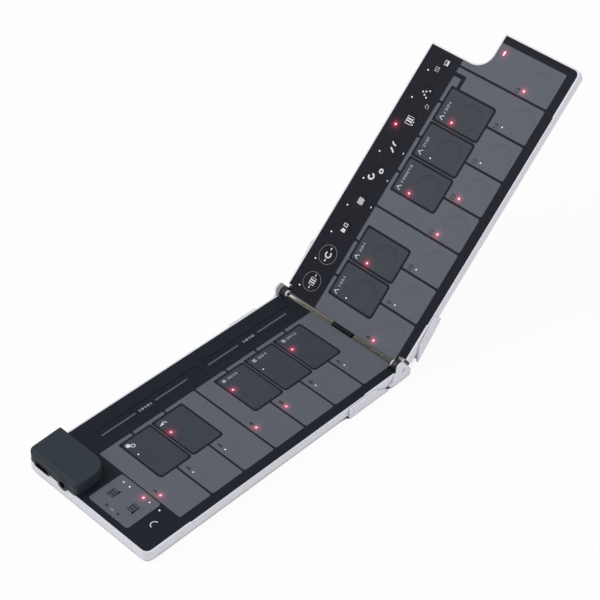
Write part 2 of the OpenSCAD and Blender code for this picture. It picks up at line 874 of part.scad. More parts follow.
module flap_pins_local(side)
    for (s = [0, 1])
        mirror([0, s, 0])
            bar(flap_far[side] - flap_pin_inset, flap_pin_z, flap_pin_r, cavity_y,
                half_depth + side_gap + cap_thick - 0.1);

// ---------- nodes ----------

module base_tray()
    color(white_plastic) place(0) tray(0);

module lid_tray()
    color(white_plastic) place(1) tray(1);

module base_top_plate()
    color(black_plastic) place(0) top_plate(0);

module lid_top_plate()
    color(black_plastic) place(1) top_plate(1);

module base_white_keys()
    color(grey_rubber) place(0) long_pad_solids(0);

module lid_white_keys()
    color(grey_rubber) place(1) long_pad_solids(1);

module base_black_keys()
    color(slate_rubber) place(0) short_pad_solids(0);

module lid_black_keys()
    color(slate_rubber) place(1) short_pad_solids(1);

module side_panel()
    color(grey_rubber) place(0)
        slab(plate_floor, pad_top)
            difference() {
                panel_outline(0);
                lamp_circles(concat(white_lamps[0], red_lamps[0]), lamp_r + 0.02);
            }

module touch_strips()
    color(black_plastic) place(0) {
        slab(plate_top - 0.5, plate_top - 0.25)
            channel_outlines(0);
        slab(plate_top - 0.3, plate_top - 0.05)
            channel_lines();
    }

module function_buttons()
    color(black_plastic) place(1)
        difference() {
            slab(plate_floor, plate_top)
                button_circles(button_r);
            for (k = [0:8])
                translate([button_start + button_pitch * k, key_y + button_y,
                    plate_top + dish_r - 0.42])
                    sphere(r = dish_r, $fn = 96);
        }

module base_sensor_film()
    color(slate_rubber) place(0) sensor_film(0);

module lid_sensor_film()
    color(slate_rubber) place(1) sensor_film(1);

module base_circuit_board()
    color(board_green) place(0) circuit_board(0);

module lid_circuit_board()
    color(board_green) place(1) circuit_board(1);

module base_chips()
    color(black_plastic) place(0)
        chips([[70, 0, 9, 9], [92, 3, 6, 6], [110, -3, 5, 4], [half_length - 17.5, -10, 4, 3]]);

module lid_chips()
    color(black_plastic) place(1)
        chips([[66, 0, 7, 7], [100, 2, 5, 4]]);

module port_block()
    color(slate_rubber) place(0) port_block_local();

module usb_socket()
    color(steel) place(0) usb_local();

module audio_socket()
    color(black_plastic) place(0) audio_local();

module base_white_lamps()
    color("white") place(0) lamps(0, white_lamps);

module base_red_lamps()
    color("red") place(0) lamps(0, red_lamps);

module lid_white_lamps()
    color("white") place(1) lamps(1, white_lamps);

module lid_red_lamps()
    color("red") place(1) {
        lamps(1, red_lamps);
        slab(film_floor, pad_top)
            dash_light(0);
    }

module flex_cable()
    color(black_plastic) place(0) flex_local();

module lid_flex_tail()
    color(black_plastic) place(1) lid_tail_local();

module base_flex_connector()
    color(black_plastic) place(0) flex_connector_local();

module lid_flex_connector()
    color(black_plastic) place(1) flex_connector_local();

module front_hinge_pin()
    color(steel) place(0) hinge_pin_local(0);

module rear_hinge_pin()
    color(steel) place(0) hinge_pin_local(1);

module base_hinge_leaves()
    color(black_plastic) place(0) base_leaves_local();

module lid_hinge_leaves()
    color(black_plastic) place(1) lid_leaves_local();

module hinge_washers()
    color(white_plastic) place(0) washers_local();

module front_hinge_cap()
    color(white_plastic) place(0) hinge_cap_local(0);

module rear_hinge_cap()
    color(white_plastic) place(0) hinge_cap_local(1);

module base_leaf_screws()
    color(steel) place(0) leaf_screws_local();

module lid_leaf_screws()
    color(steel) place(1) leaf_screws_local();

module base_case_screws()
    color(steel) place(0) case_screws_local(0);

module lid_case_screws()
    color(steel) place(1) case_screws_local(1);

module base_feet()
    color(slate_rubber) place(0) feet_local(0);

module lid_feet()
    color(slate_rubber) place(1) feet_local(1);

module base_flap()
    color(white_plastic) place(0) flap_local(0);

module lid_flap()
    color(white_plastic) place(1)
        translate([lid_flap_far - flap_pin_inset, 0, flap_pin_z])
            rotate([0, -lid_flap_angle, 0])
                translate([flap_pin_inset - lid_flap_far, 0, -flap_pin_z])
                    flap_local(1);

module base_flap_pins()
    color(steel) place(0) flap_pins_local(0);

module lid_flap_pins()
    color(steel) place(1) flap_pins_local(1);

base_tray();
base_top_plate();
base_white_keys();
base_black_keys();
side_panel();
touch_strips();
base_sensor_film();
base_circuit_board();
base_chips();
port_block();
usb_socket();
audio_socket();
base_white_lamps();
base_red_lamps();
flex_cable();
base_flex_connector();
lid_flex_connector();
lid_flex_tail();
lid_tray();
lid_top_plate();
lid_white_keys();
lid_black_keys();
function_buttons();
lid_sensor_film();
lid_circuit_board();
lid_chips();
lid_white_lamps();
lid_red_lamps();
front_hinge_pin();
rear_hinge_pin();
base_hinge_leaves();
lid_hinge_leaves();
hinge_washers();
front_hinge_cap();
rear_hinge_cap();
base_leaf_screws();
lid_leaf_screws();
base_case_screws();
lid_case_screws();
base_feet();
lid_feet();
base_flap();
lid_flap();
base_flap_pins();
lid_flap_pins();
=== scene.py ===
# %% [markdown]
# # A folding pad keyboard, dressed for its picture
# The keyboard is two flat halves on a friction hinge. The base lies on the table and the
# lid leans up at 45 degrees. The solids come from the CAD model, and this lesson gives them
# their looks: soft pads with shallow finger dishes, lit lamps, printed marks and moulded
# plastic. Each cell makes one thing and prints what it made.

# %% Load the frame
import math

import bmesh
import bpy
from mathutils import Matrix, Vector


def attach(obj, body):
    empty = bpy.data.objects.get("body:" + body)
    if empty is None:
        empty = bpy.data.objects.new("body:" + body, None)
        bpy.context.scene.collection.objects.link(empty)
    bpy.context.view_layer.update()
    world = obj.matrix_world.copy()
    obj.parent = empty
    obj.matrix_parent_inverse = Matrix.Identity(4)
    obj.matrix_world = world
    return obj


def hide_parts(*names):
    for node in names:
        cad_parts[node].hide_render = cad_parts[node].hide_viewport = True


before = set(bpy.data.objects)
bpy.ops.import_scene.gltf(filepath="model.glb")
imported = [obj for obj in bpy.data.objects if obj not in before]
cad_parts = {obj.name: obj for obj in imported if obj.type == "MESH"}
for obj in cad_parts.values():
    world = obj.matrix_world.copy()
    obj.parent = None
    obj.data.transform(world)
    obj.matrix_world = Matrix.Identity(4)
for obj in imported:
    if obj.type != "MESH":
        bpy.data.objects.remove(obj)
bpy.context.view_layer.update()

# %% [markdown]
# ## Two drawing boards
# Each half is drawn flat, in millimetres: d runs from the hinge axis outward, y runs from
# the front of the long pads to the rear, and z is the height above the underside. One
# matrix per half then lays the drawing into the shared frame, in metres. Drawing flat keeps
# every number readable, and the lid's tilt is written only once.

# %% Lay the two drawing boards into the frame
MM = 0.001
HINGE_X = 22.35303  # the hinge axis along x
FOOT = 0.5  # the feet lift the case by this much
AXIS_Z = 6.5  # the hinge axis above the underside
KEY_FRONT = -34.1  # the front edge of the long pads along y
PLATE_TOP = 6.2
PAD_TOP = 6.3
HALF_LENGTH = 165.5
CASE_REAR = 74.1
LID_ANGLE = math.radians(45)

to_metres = Matrix.Scale(MM, 4)
from_front = Matrix.Translation((0, KEY_FRONT, 0))
BOARD = {
    "base": to_metres
    @ Matrix.Translation((HINGE_X, 0, FOOT))
    @ Matrix.Diagonal((-1, 1, 1, 1))
    @ from_front,
    "lid": to_metres
    @ Matrix.Translation((HINGE_X, 0, AXIS_Z + FOOT))
    @ Matrix.Rotation(-LID_ANGLE, 4, "Y")
    @ Matrix.Translation((0, 0, -AXIS_Z))
    @ from_front,
}
far_corner = Vector((HALF_LENGTH, CASE_REAR, PAD_TOP))
print("far rear corner of the lid:", BOARD["lid"] @ far_corner)


def piece(name, shape, half, finish):
    """Turns a bmesh drawn on a board into a finished piece that rides on that half."""
    shape.transform(BOARD[half])
    if BOARD[half].determinant() < 0:
        bmesh.ops.reverse_faces(shape, faces=shape.faces[:])
    mesh = bpy.data.meshes.new(name)
    shape.to_mesh(mesh)
    shape.free()
    made = bpy.data.objects.new(name, mesh)
    bpy.context.scene.collection.objects.link(made)
    mesh.materials.append(finish.material)
    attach(made, half)
    print(name, "has", len(mesh.polygons), "faces")
    return made


# %% [markdown]
# ## A small language for finishes
# Shader nodes are maths drawn as boxes. Written as Python, the same maths stays short: a
# Wire wraps one socket, and adding or multiplying Wires adds the Math nodes.

# %% Wires
class Wire:
    """One output socket of a finish, with arithmetic."""

    def __init__(self, finish, socket):
        self.finish = finish
        self.socket = socket

    def maths(self, operation, *terms):
        """One Math node."""
        return self.finish.node(
            "ShaderNodeMath", {"operation": operation}, dict(enumerate(terms))
        )

    def __add__(self, other):
        return self.maths("ADD", self, other)

    def __sub__(self, other):
        return self.maths("SUBTRACT", self, other)

    def __rsub__(self, other):
        return self.maths("SUBTRACT", other, self)

    def __mul__(self, other):
        return self.maths("MULTIPLY", self, other)

    def __truediv__(self, other):
        return self.maths("DIVIDE", self, other)

    def __rtruediv__(self, other):
        return self.maths("DIVIDE", other, self)

    def __pow__(self, other):
        return self.maths("POWER", self, other)

    def __gt__(self, other):
        return self.maths("GREATER_THAN", self, other)

    def clamped(self):
        return self.maths("MINIMUM", self.maths("MAXIMUM", self, 0.0), 1.0)

    __radd__ = __add__


print("wires are ready")

# %% [markdown]
# A Finish is one material with a Principled shader. Its node method makes any kind of node
# from a dictionary of settings and a dictionary of sockets, and the other methods are the
# recipes that several materials share: noise, mixed colours, soft edges and bumps.

# %% Finishes
EDGE_GAIN = 9  # how quickly a turning normal counts as an edge


class Finish:
    """One material: a Principled shader and the nodes that feed it."""

    def __init__(self, name, constants=None):
        self.material = bpy.data.materials.new(name)
        self.material.use_nodes = True
        self.tree = self.material.node_tree
        self.shader = self.tree.nodes["Principled BSDF"]
        self.place = self.node("ShaderNodeTexCoord", output="Object")
        for socket, value in (constants or {}).items():
            self.shader.inputs[socket].default_value = value

    def node(self, kind, settings=None, sockets=None, output=0):
        """Adds a node and returns one of its outputs."""
        made = self.tree.nodes.new(kind)
        for key, value in (settings or {}).items():
            setattr(made, key, value)
        for key, value in (sockets or {}).items():
            if isinstance(value, Wire):
                self.tree.links.new(value.socket, made.inputs[key])
            else:
                made.inputs[key].default_value = value
        return Wire(self, made.outputs[output])

    def feed(self, socket, wire):
        """Leads a wire to a socket of the shader."""
        self.tree.links.new(wire.socket, self.shader.inputs[socket])

    def noise(self, size_mm, detail=3.0):
        """Soft random values from 0 to 1 whose lumps are about size_mm wide."""
        return self.node(
            "ShaderNodeTexNoise",
            {"noise_dimensions": "3D"},
            {"Vector": self.place, "Scale": 1000 / size_mm, "Detail": detail},
            "Fac",
        )

    def mix(self, amount, first, second):
        """A colour between two others."""
        return self.node(
            "ShaderNodeMix", {"data_type": "RGBA"}, {0: amount, 6: first, 7: second}, 2
        )

    def soft_edges(self, radius_mm):
        """Normals that turn smoothly over each edge, as a moulded edge does."""
        return self.node(
            "ShaderNodeBevel", {"samples": 6}, {"Radius": radius_mm * MM}, "Normal"
        )

    def worn_edges(self, rounded):
        """1 along the edges and 0 on the flats, from how far the soft normals turn; it
        places the painted edge highlights.
        """
        flat = self.node("ShaderNodeNewGeometry", output="Normal")
        same = self.node(
            "ShaderNodeVectorMath", {"operation": "DOT_PRODUCT"}, {0: rounded, 1: flat},
            "Value",
        )
        return ((1 - same) * EDGE_GAIN).clamped()

    def bump(self, height, strength, depth_mm, normal=None):
        """A Bump node fed by a height from 0 to 1."""
        sockets = {"Height": height, "Strength": strength, "Distance": depth_mm * MM}
        if normal is not None:
            sockets["Normal"] = normal
        self.feed("Normal", self.node("ShaderNodeBump", {}, sockets, "Normal"))


print("finishes are ready")

# %% [markdown]
# ## Moulded plastic
# The case is injection moulded: a fine even grain from the mould and slow changes of tone
# from handling. Its edges get a painted highlight, a paler colour where a moulded edge,
# never truly sharp, would catch the light. The grain is far smaller than a picture element
# here, so it mostly breaks up the highlights. One helper serves every plastic on the object,
# with its own colour, grain and gloss. The end walls at the hinge get painted shade, olive
# brown and darker to the front, measured by their distance from the axis.

# %% A helper for plastics
SHADE_REACH = 1.24  # how far from the hinge axis the painted brown shade goes


def hinge_paint(finish, half, body):
    """Lays painted shade, olive brown and darker to the front, on what lies close to the
    hinge axis.
    """
    x, y, z = (
        finish.node("ShaderNodeSeparateXYZ", {}, {"Vector": finish.place}, axis)
        for axis in "XYZ"
    )
    if half == "base":
        away = HINGE_X * MM - x
    else:
        slope = math.cos(LID_ANGLE)
        away = (x - HINGE_X * MM) * slope + (z - (AXIS_Z + FOOT) * MM) * slope
    near = 1 - (away > SHADE_REACH * MM)
    rear = (y * 12 + 0.5).clamped()  # 0 at the front of the hinge line and 1 at its rear, so the painted shade is darker to the front
    # The brown is painted shade on the white end walls in the narrow hinge gap.
    shade_brown = finish.mix(rear, (0.035, 0.031, 0.026, 1), (0.19, 0.165, 0.13, 1))
    return finish.mix(near, body, shade_brown)


def plastic(name, colour, shade, gloss, grain_mm=0.25, grain=0.35, edge=0.35, round_mm=0.2,
            shine=0.5, half=None):
    """One moulded plastic with painted edge highlights. With a half given, its end wall gets
    painted shade near the hinge.
    """
    made = Finish(name, {"Roughness": gloss, "Specular IOR Level": shine})
    rounded = made.soft_edges(round_mm)
    edge_highlight = made.worn_edges(rounded)
    clouds = made.noise(14, 4)
    specks = made.noise(grain_mm, 2)
    dark = [c * (1 - shade) for c in colour] + [1]
    light = [min(c * (1 + shade), 1) for c in colour] + [1]
    # The edges are painted paler than the body as a painted highlight, and edge sets how
    # strong it is.
    bright = [c + (1 - c) * edge * 0.3 for c in colour] + [1]
    body = made.mix(clouds * 0.75 + specks * 0.25, dark, light)
    painted = made.mix(edge_highlight * edge, body, bright)
    # the end wall near the hinge gets painted shade
    if half:
        painted = hinge_paint(made, half, painted)
    made.feed("Base Color", painted)
    made.feed("Roughness", (gloss - 0.06) + clouds * 0.08 + specks * 0.05 - edge_highlight * 0.06)
    made.bump(specks, grain, 0.02, rounded)
    return made


print("plastic helper ready")

# %% Plastics
WHITE = (0.81, 0.815, 0.885)
# The two plates are one black plastic, but the lid's copy is painted a little darker than
# the base's, as painted shade.
PLATE_BLACK_SHADED_PER_HALF = {"base": (0.0125, 0.0152, 0.0235), "lid": (0.0115, 0.0125, 0.0205)}
PLATE_SHINE = {"base": 0.12, "lid": 0.09}

white_case = plastic("white_case", WHITE, shade=0.02, gloss=0.38)
trays = {
    half: plastic(f"white_tray_{half}", WHITE, shade=0.02, gloss=0.38, half=half)
    for half in BOARD
}
plates = {
    half: plastic(f"black_plate_{half}", PLATE_BLACK_SHADED_PER_HALF[half], shade=0.12, gloss=0.46,
                  grain_mm=0.3, grain=0.5, edge=0.3, shine=PLATE_SHINE[half])
    for half in BOARD
}
block_slate = plastic("block_slate", (0.026, 0.037, 0.047), shade=0.08, gloss=0.58,
                      grain_mm=0.22, grain=0.6, edge=0.3, round_mm=0.3, shine=0.25)
socket_black = plastic("socket_black", (0.008, 0.008, 0.01), shade=0.1, gloss=0.3, shine=0.2)
chip_black = plastic("chip_black", (0.02, 0.02, 0.022), shade=0.15, gloss=0.5)
foot_rubber = plastic("foot_rubber", (0.03, 0.03, 0.034), shade=0.12, gloss=0.75,
                      grain_mm=0.4, grain=0.7, edge=0.2)
film_grey = plastic("film_grey", (0.1, 0.1, 0.11), shade=0.1, gloss=0.25)
flex_black = plastic("flex_black", (0.006, 0.006, 0.007), shade=0.1, gloss=0.5, shine=0.15)
print("plastics made for the trays, the plates and seven other uses")

# %% [markdown]
# ## Soft pads that glow
# The pads are one sheet of silicone rubber over the sensors. It is matt with a weak sheen,
# and the red lamps under it light the rubber round them. The glow is worked out from the
# distance to each red lamp, strong close by and fading within a few millimetres. It goes
# into the emission colour, so it looks the same from every side. First come the places of
# the lamps, which the lenses use again further down.

# %% Lamp places
PITCH = 20.0  # from one long pad to the next
FIRST = 1.2  # where the first pitch starts
LONG_LAMP = 15.515  # y of the lamps in the long pads
SHORT_LAMP = 40.846  # y of the lamps in the short pads
PANEL_LAMP = 144.2  # d of the lamps beside the side panel
PANEL_FRONT = 11.3
PANEL_DEPTH = 25.8
BUTTON_START = 11.9
BUTTON_PITCH = 15.64
BUTTON_COUNT = 9
BUTTON_Y = 62.7
BUTTON_RADIUS = 4.9
BUTTON_LAMP_START = 7.1
BUTTON_LAMP_Y = 67.9


def row(keys, y):
    """Lamps at y, placed in pitches from the hinge."""
    return [(FIRST + k * PITCH, y) for k in keys]


def panel(shares):
    """Lamps beside the side panel, placed by shares of its depth."""
    return [(PANEL_LAMP, PANEL_FRONT + share * PANEL_DEPTH) for share in shares]


def buttons(steps):
    """Lamps above the round buttons."""
    return [(BUTTON_LAMP_START + BUTTON_PITCH * k, BUTTON_LAMP_Y) for k in steps]


WHITE_LAMPS = {
    "base": row([5.84, 4.835, 1.835, 0.83], LONG_LAMP)
    + row([6.35, 2.33], SHORT_LAMP)
    + panel([0.833, 0.682, 0.174])
    + [(PANEL_LAMP, 9.3)],
    "lid": row([1.15, 2.155, 5.165, 6.17], LONG_LAMP)
    + row([0.65, 4.67], SHORT_LAMP)
    + buttons([0, 1, 2, 3, 4, 5, 7, 8]),
}
RED_LAMPS = {
    "base": row([6.835, 3.835, 2.84], LONG_LAMP)
    + row([5.345, 3.345, 1.33], SHORT_LAMP)
    + panel([0.326]),
    "lid": row([0.14, 3.155, 4.16, 7.175], LONG_LAMP)
    + row([1.655, 3.665, 5.68], SHORT_LAMP)
    + buttons([6]),
}
LIGHT_BAR = (156.6, 35.4)
print("white lamps:", sum(map(len, WHITE_LAMPS.values())),
      "red lamps:", sum(map(len, RED_LAMPS.values())), "and one light bar")

# %% Glowing rubber
GLOW_RADIUS = 1.15  # the distance at which the glow has fallen to half


def glow(finish, half):
    """How much red light reaches a point, summed over the red lamps of a half."""
    places = RED_LAMPS[half] + ([LIGHT_BAR] if half == "lid" else [])
    total = None
    for d, y in places:
        middle = BOARD[half] @ Vector((d, y, PAD_TOP))
        far = finish.node(
            "ShaderNodeVectorMath", {"operation": "DISTANCE"},
            {0: finish.place, 1: middle}, "Value",
        )
        near = 1 / (1 + (far * 1000 / GLOW_RADIUS) ** 3.0)
        total = near if total is None else total + near
    return total


def light_up(finish, half):
    """Lets the red glow show in a finish."""
    finish.shader.inputs["Emission Strength"].default_value = 1.0
    red = finish.mix(glow(finish, half).clamped(), (0, 0, 0, 1), (0.55, 0.05, 0.1, 1))
    finish.feed("Emission Color", red)


def rubber(name, colour, half):
    """Matt silicone rubber that glows round the red lamps."""
    made = Finish(name, {"Specular IOR Level": 0.3})
    clouds = made.noise(18, 3)
    dust = made.noise(0.5, 2)
    rounded = made.soft_edges(0.12)
    dark = [c * 0.93 for c in colour] + [1]
    light = [c * 1.06 for c in colour] + [1]
    made.feed("Base Color", made.mix(clouds * 0.7 + dust * 0.3, dark, light))
    made.feed("Roughness", 0.5 + clouds * 0.1 + dust * 0.06)
    made.bump(dust, 0.25, 0.015, rounded)
    light_up(made, half)
    return made


GREY = (0.112, 0.124, 0.154)
SLATE = (0.040, 0.049, 0.066)
grey_pads = {half: rubber(f"grey_pads_{half}", GREY, half) for half in BOARD}
slate_pads = {half: rubber(f"slate_pads_{half}", SLATE, half) for half in BOARD}
for half, finish in plates.items():
    light_up(finish, half)
print("glowing rubber for", len(grey_pads) + len(slate_pads), "sets of pads")

# %% [markdown]
# ## Metal, board and ink
# The hidden parts still show when the object is opened in a viewer, so each has its own
# finish: brushed steel for pins and screws, a lacquered board, black coated steel for the
# hinge leaves, and the inks of the printed marks.

# %% Metals and board
def brushed(name, colour, gloss, metal=1.0):
    """Metal with fine lines, and a painted highlight that makes it paler along its edges."""
    made = Finish(name, {"Metallic": metal})
    rounded = made.soft_edges(0.12)
    edge_highlight = made.worn_edges(rounded)
    turned = made.node(
        "ShaderNodeMapping", {}, {"Vector": made.place, "Scale": (1.0, 12.0, 1.0)}
    )
    lines = made.node(
        "ShaderNodeTexNoise", {}, {"Vector": turned, "Scale": 1500.0, "Detail": 2.0}, "Fac"
    )
    dark = [c * 0.85 for c in colour] + [1]
    bright = [min(c * 1.25, 1) for c in colour] + [1]
    # The lines lighten the colour, and the painted edge highlight lightens it along the
    # edges.
    made.feed("Base Color", made.mix(lines * 0.6 + edge_highlight * 0.4, dark, bright))
    made.feed("Roughness", (gloss - 0.05) + lines * 0.14)
    made.bump(lines, 0.2, 0.01, rounded)
    return made


steel = brushed("steel", (0.6, 0.6, 0.62), 0.32)
black_steel = brushed("black_steel", (0.02, 0.02, 0.024), 0.42, 0.0)

board_green = Finish("board_green")
tracks = board_green.node(
    "ShaderNodeTexBrick",
    {"offset": 0.5},
    {"Vector": board_green.place, "Color1": (0, 0, 0, 1), "Color2": (1, 1, 1, 1),
     "Scale": 260.0},
    "Fac",
)
board_green.feed(
    "Base Color", board_green.mix(tracks, (0.01, 0.09, 0.05, 1), (0.02, 0.16, 0.08, 1))
)
board_green.feed("Roughness", 0.25 + board_green.noise(3) * 0.12)
board_green.bump(tracks, 0.4, 0.03)
print("metals and board are ready")

# %% Inks and lamps
def ink(name, colour):
    """Printed ink with a little grain."""
    made = Finish(name)
    grain = made.noise(0.2, 2)
    thin = [c * 0.8 for c in colour] + [1]
    made.feed("Base Color", made.mix(grain, thin, (*colour, 1)))
    made.feed("Roughness", 0.42 + grain * 0.16)
    made.bump(grain, 0.2, 0.01)
    return made


pale_ink = ink("pale_ink", (0.86, 0.87, 0.9))
soft_ink = ink("soft_ink", (0.4, 0.41, 0.44))
dark_ink = ink("dark_ink", (0.012, 0.013, 0.017))


def lamp(name, core, rim, strength):
    """A lit light pipe, brighter in the middle than at its rim."""
    made = Finish(name, {"Emission Strength": strength})
    facing = made.node("ShaderNodeLayerWeight", {}, {"Blend": 0.4}, "Facing")
    grain = made.noise(0.3, 1)
    shade = made.mix((facing + grain * 0.1).clamped(), core, rim)
    made.feed("Base Color", shade)
    made.feed("Emission Color", shade)
    made.feed("Roughness", 0.2 + grain * 0.1)
    return made


white_lamp = lamp("white_lamp", (1.0, 1.0, 1.0, 1), (0.5, 0.53, 0.6, 1), 0.4)
red_lamp = lamp("red_lamp", (1.0, 0.62, 0.7, 1), (1.0, 0.12, 0.25, 1), 1.2)
print("inks and lamps are ready")

# %% [markdown]
# ## Dress the solids
# Every solid of the frame keeps its shape and gets one of the finishes. A dictionary from
# finish to nodes keeps the whole assignment on one page.

# %% Give each node its finish
DRESS = {
    trays["base"]: ["base_tray"],
    trays["lid"]: ["lid_tray"],
    white_case: ["front_hinge_cap", "rear_hinge_cap", "base_flap", "lid_flap",
                 "hinge_washers", "base_flap_pins", "lid_flap_pins"],
    plates["base"]: ["base_top_plate"],
    plates["lid"]: ["lid_top_plate", "function_buttons"],
    block_slate: ["port_block"],
    socket_black: ["audio_socket", "usb_socket", "base_flex_connector",
                   "lid_flex_connector"],
    chip_black: ["base_chips", "lid_chips"],
    foot_rubber: ["base_feet", "lid_feet"],
    film_grey: ["base_sensor_film", "lid_sensor_film"],
    flex_black: ["flex_cable", "lid_flex_tail"],
    steel: ["front_hinge_pin", "rear_hinge_pin", "base_leaf_screws", "lid_leaf_screws",
            "base_case_screws", "lid_case_screws"],
    black_steel: ["base_hinge_leaves", "lid_hinge_leaves"],
    board_green: ["base_circuit_board", "lid_circuit_board"],
    grey_pads["base"]: ["base_white_keys", "side_panel"],
    grey_pads["lid"]: ["lid_white_keys"],
    slate_pads["base"]: ["base_black_keys"],
    slate_pads["lid"]: ["lid_black_keys"],
    white_lamp: ["base_white_lamps", "lid_white_lamps"],
    red_lamp: ["base_red_lamps", "lid_red_lamps"],
}
for finish, nodes in DRESS.items():
    for node in nodes:
        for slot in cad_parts[node].material_slots:
            slot.material = finish.material
print("dressed", sum(len(nodes) for nodes in DRESS.values()), "nodes")

# %% [markdown]
# The touch strips are one moulding: a sunken black floor with paler raised lines. The
# height tells the two apart, so one material can paint both.

# %% Touch strips, painted by height
strip = Finish("touch_strip", {"Specular IOR Level": 0.12})
height = strip.node("ShaderNodeSeparateXYZ", {}, {"Vector": strip.place}, "Z")
raised = height > (PLATE_TOP - 0.15 + FOOT) * MM
strip_grain = strip.noise(0.3, 2)
deep = strip.mix(strip_grain, (0.0112, 0.0138, 0.0215, 1), (0.0128, 0.0156, 0.024, 1))
line = strip.mix(strip_grain, (0.09, 0.102, 0.122, 1), (0.112, 0.124, 0.146, 1))
strip.feed("Base Color", strip.mix(raised, deep, line))
strip.feed("Roughness", 0.36 + strip_grain * 0.12)
strip.bump(strip_grain, 0.3, 0.015, strip.soft_edges(0.15))
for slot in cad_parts["touch_strips"].material_slots:
    slot.material = strip.material
print("touch strips painted")

# %% [markdown]
# ## Small solids
# Pads and lenses are made the same way: a flat face is lifted to a solid, its top rim is
# rounded, and the solid joins the others of its piece. Three helpers do this.

# %% Lift, soften and join
def lift(shape, bottom, top):
    """Extrudes a flat face from bottom to top and returns the edges of its top rim."""
    grown = bmesh.ops.extrude_face_region(shape, geom=shape.faces[:])["geom"]
    verts = [g for g in grown if isinstance(g, bmesh.types.BMVert)]
    bmesh.ops.translate(shape, vec=(0, 0, top - bottom), verts=verts)
    return [e for e in shape.edges if all(v.co.z > top - 0.001 for v in e.verts)]


def soften(shape, geom, offset, segments, affect="EDGES"):
    """Rounds edges, or the corners of a flat face."""
    bmesh.ops.bevel(
        shape, geom=geom, offset=offset, offset_type="OFFSET", affect=affect,
        segments=segments, profile=0.5, material=-1,
    )


def join(shape, part):
    """Adds one closed solid to a shape."""
    mesh = bpy.data.meshes.new("part")
    part.to_mesh(mesh)
    part.free()
    shape.from_mesh(mesh)
    bpy.data.meshes.remove(mesh)


print("solid helpers ready")

# %% [markdown]
# ## Pads with finger dishes
# The CAD pads are flat plates. Real ones have softened edges and a very shallow round dish
# where the finger lands. A pad starts as one face, its corners are rounded by a vertex
# bevel, and the face is extruded up and its top edge bevelled. The dish is a ring cut into
# the top: the flat between outline and ring is filled, and smaller rings step down toward
# the middle, steeply at first and then almost flat, so that its edge draws a soft arc.

# %% Rounded faces and dishes
DISH_RINGS = (0.975, 0.94, 0.9, 0.85, 0.78, 0.68, 0.52, 0.3)  # shares of the radius
DISH_POWER = 5  # a higher power gives a flatter floor and a steeper edge


def rounded_face(shape, corners, z):
    """One face from (d, y, radius) corners, each rounded by its own radius."""
    made = {}
    verts = []
    for d, y, radius in corners:
        vert = shape.verts.new((d, y, z))
        verts.append(vert)
        made.setdefault(radius, []).append(vert)
    shape.faces.new(verts)
    for radius, group in made.items():
        soften(shape, group, radius, 5, "VERTICES")


def dish(shape, top_edges, middle, radius, depth, z):
    """Fills the top between its outline and a round dish, and closes the dish."""
    ring = bmesh.ops.create_circle(
        shape, cap_ends=False, radius=radius, segments=48,
        matrix=Matrix.Translation((*middle, z)),
    )["verts"]
    loop = list(dict.fromkeys(edge for vert in ring for edge in vert.link_edges))
    bmesh.ops.triangle_fill(shape, edges=top_edges + loop, use_beauty=True, normal=(0, 0, 1))
    for share in DISH_RINGS:
        grown = bmesh.ops.extrude_edge_only(shape, edges=loop)["geom"]
        ring = [g for g in grown if isinstance(g, bmesh.types.BMVert)]
        edges = [g for g in grown if isinstance(g, bmesh.types.BMEdge)]
        loop = [e for e in edges if e.verts[0] in ring and e.verts[1] in ring]
        low = z - depth * (1 - share**DISH_POWER)
        for vert in ring:
            away = Vector((vert.co.x - middle[0], vert.co.y - middle[1]))
            away = away.normalized() * radius * share
            vert.co = (middle[0] + away.x, middle[1] + away.y, low)
    bmesh.ops.edgeloop_fill(shape, edges=loop)


print("dish helper ready")

# %% A helper for pads
PAD_BOTTOM = 4.75
PAD_EDGE = 0.16


def pad(shape, corners, middle=None, dish_radius=7.2, depth=0.4):
    """Adds one soft pad, with a dish when its middle is given."""
    one = bmesh.new()
    rounded_face(one, corners, PAD_BOTTOM)
    rim = lift(one, PAD_BOTTOM, PAD_TOP)
    bmesh.ops.recalc_face_normals(one, faces=one.faces[:])
    soften(one, rim, PAD_EDGE, 3)
    if middle is not None:
        top = max(one.faces, key=lambda f: f.calc_area() * (f.normal.z > 0.9))
        edges = top.edges[:]
        bmesh.ops.delete(one, geom=[top], context="FACES_ONLY")
        dish(one, edges, middle, dish_radius, depth, PAD_TOP)
    bmesh.ops.recalc_face_normals(one, faces=one.faces[:])
    if middle is not None:
        for face in one.faces:
            spot = face.calc_center_median()
            near = (Vector((spot.x, spot.y)) - Vector(middle)).length < dish_radius - 0.01
            face.smooth = near and face.normal.z > 0.9
    join(shape, one)


print("pad helper ready")

# %% [markdown]
# A long pad is as wide as the key pitch less one groove. Where a short pad sits on the line
# between two long pads, each long pad is cut back round it, and only a narrow strip runs
# past. The outline below walks once round the pad and takes each cut as it comes.

# %% Outlines of the long pads
GROOVE = 1.1
PAD_START = 1.3
PAD_END = 160.9
KEY_DEPTH = 53.5
CORNER = (144.6, 39.4)  # where the lid's last pad is cut back for the port block
STEP = (137.8, 46.6)  # where the pad before it makes room for the small pad
SHORT_HALF = 8.7
SHORT_FRONT = 23.861
SHORT_REAR = 50.4
SHORT_KEYS = {"base": (1, 2, 3, 5, 6), "lid": (1, 2, 4, 5, 6)}


